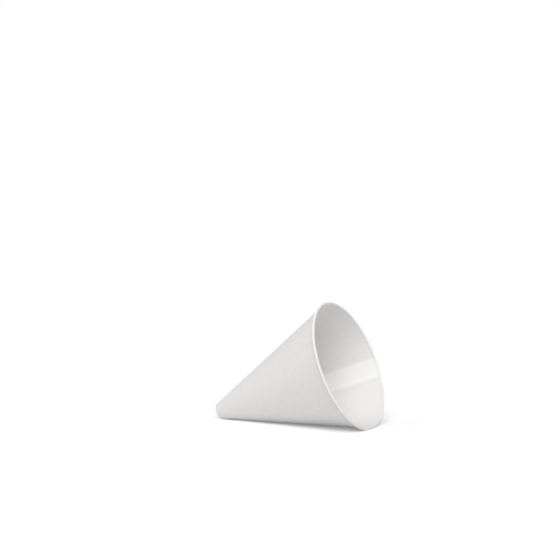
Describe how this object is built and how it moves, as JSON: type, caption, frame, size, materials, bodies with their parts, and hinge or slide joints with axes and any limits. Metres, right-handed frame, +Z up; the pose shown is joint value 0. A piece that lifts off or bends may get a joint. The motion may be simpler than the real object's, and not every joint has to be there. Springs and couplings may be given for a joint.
{
  "type": "cone paper cup",
  "caption": "Cone-shaped paper drinking cup on its side, wound from one sheet with a glued lap, a blunt closed tip and a mouth rolled outwards into a rim.",
  "frame": {"origin": "on the floor that the cup lies on, under the middle of its length and width", "axes": "+X runs along the floor from the tip towards the mouth, and +Z is up"},
  "size_m": [0.0974, 0.073, 0.0685],
  "materials": {
    "paper": "matte"
  },
  "bodies": {
    "root": {"paper_cup": "paper"}
  },
  "joints": []
}
